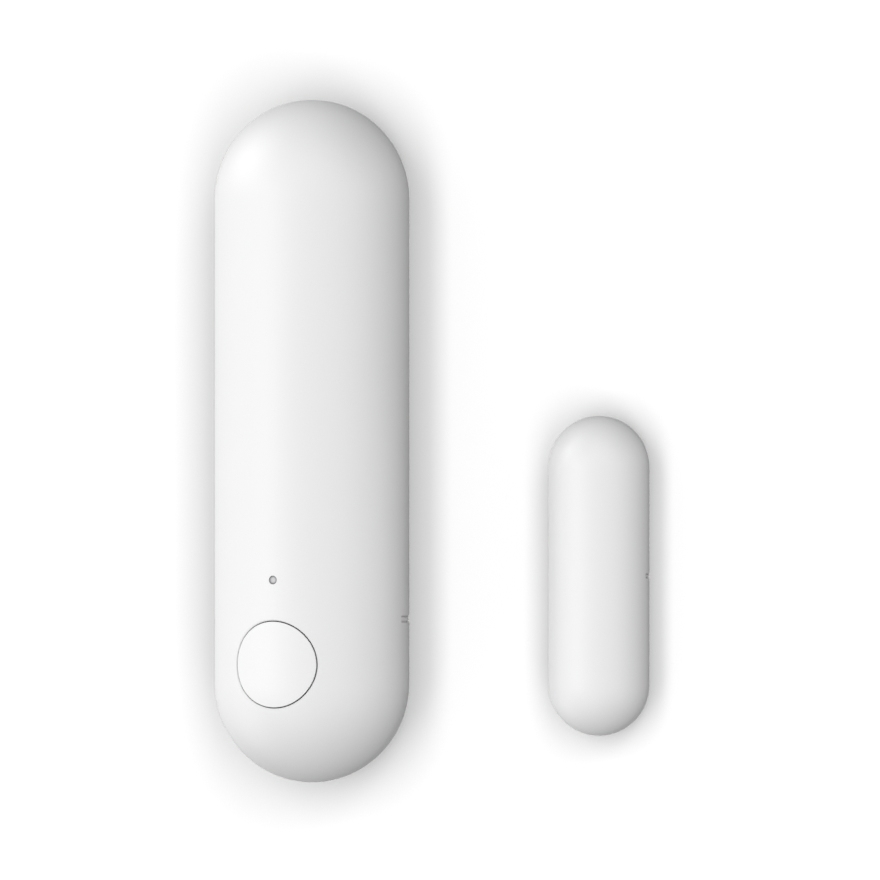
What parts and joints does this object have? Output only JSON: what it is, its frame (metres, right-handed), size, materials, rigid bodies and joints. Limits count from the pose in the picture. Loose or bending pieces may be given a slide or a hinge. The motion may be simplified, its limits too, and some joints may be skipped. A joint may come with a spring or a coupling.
{
  "type": "door contact sensor",
  "caption": "Wireless door contact sensor: a round-ended capsule housing with a flush setup button and status light, and a smaller capsule magnet unit beside it.",
  "frame": {"origin": "centre of the sensor unit's adhesive pad, on its mounting face", "axes": "+Y along the sensor unit, away from its button; +Z out of the mounting surface, towards the button and light; +X from the sensor unit to the magnet unit"},
  "size_m": [0.0479, 0.0736, 0.0195],
  "materials": {
    "foam_pad": "closed-cell foam with adhesive",
    "housing": "fine matt moulded ABS",
    "button": "fine matt moulded ABS",
    "chassis": "moulded",
    "light_pipe": "clear moulded acrylic",
    "board": "green solder mask",
    "steel": "bright nickel plate",
    "spring_steel": "drawn wire",
    "gold": "gold plate",
    "black_plastic": "moulded",
    "ceramic": "fired ceramic with tinned ends",
    "led": "clear resin over white base",
    "glass_tube": "clear drawn glass",
    "switch_stem": "moulded",
    "film": "plain shrink film",
    "magnet": "nickel plate"
  },
  "bodies": {
    "base": {"sensor_adhesive_pad": "foam_pad", "sensor_base": "housing"},
    "sensor": {"sensor_cover": "housing", "inner_chassis": "chassis", "chassis_screws": "steel", "circuit_board": "board", "status_led": "led", "led_light_pipe": "light_pipe", "tact_switch_body": "black_plastic", "tact_switch_frame": "steel", "tact_switch_terminals": "steel", "tact_switch_dome": "spring_steel", "reed_switch_glass": "glass_tube", "reed_switch_blades": "steel", "radio_shield_can": "steel", "radio_chip": "black_plastic", "radio_antenna": "ceramic", "sensor_chip": "black_plastic", "clock_crystal": "steel", "chip_capacitors": "ceramic", "battery_negative_contact": "steel", "battery_spring": "spring_steel", "battery_positive_contact": "gold", "tamper_switch_body": "black_plastic", "tamper_spring": "spring_steel"},
    "button": {"setup_button": "button", "tact_switch_plunger": "switch_stem"},
    "tamper": {"tamper_plunger": "switch_stem"},
    "battery": {"battery_can": "steel", "battery_positive_cap": "steel", "battery_insulator": "black_plastic", "battery_sleeve": "film"},
    "magnet_unit": {"magnet_adhesive_pad": "foam_pad", "magnet_base": "housing", "magnet_cover": "housing", "bar_magnet": "magnet"}
  },
  "joints": [
    {"name": "sensor_release", "type": "slide", "parent": "base", "child": "sensor", "axis": [0, 0, 1], "range_m": [0, 0.045]},
    {"name": "battery_removal", "type": "slide", "parent": "sensor", "child": "battery", "axis": [0, 0, -1], "range_m": [0, 0.0225]},
    {"name": "tamper_plunger_travel", "type": "slide", "parent": "sensor", "child": "tamper", "axis": [0, 0, -1], "range_m": [0, 0.001], "deforming": ["tamper_spring"]},
    {"name": "button_press", "type": "slide", "parent": "sensor", "child": "button", "axis": [0, 0, -1], "range_m": [0, 0.00025], "stiffness_N_per_m": 4000, "springref_m": -0.00015, "deforming": ["tact_switch_dome"]},
    {"name": "door_opening", "type": "slide", "parent": "base", "child": "magnet_unit", "axis": [1, 0, 0], "range_m": [0, 0.05]}
  ],
  "couplings": [
    {"joint": "battery_removal", "follows": "sensor_release", "ratio": 0.5},
    {"joint": "tamper_plunger_travel", "follows": "sensor_release", "ratio": 0.0222}
  ]
}
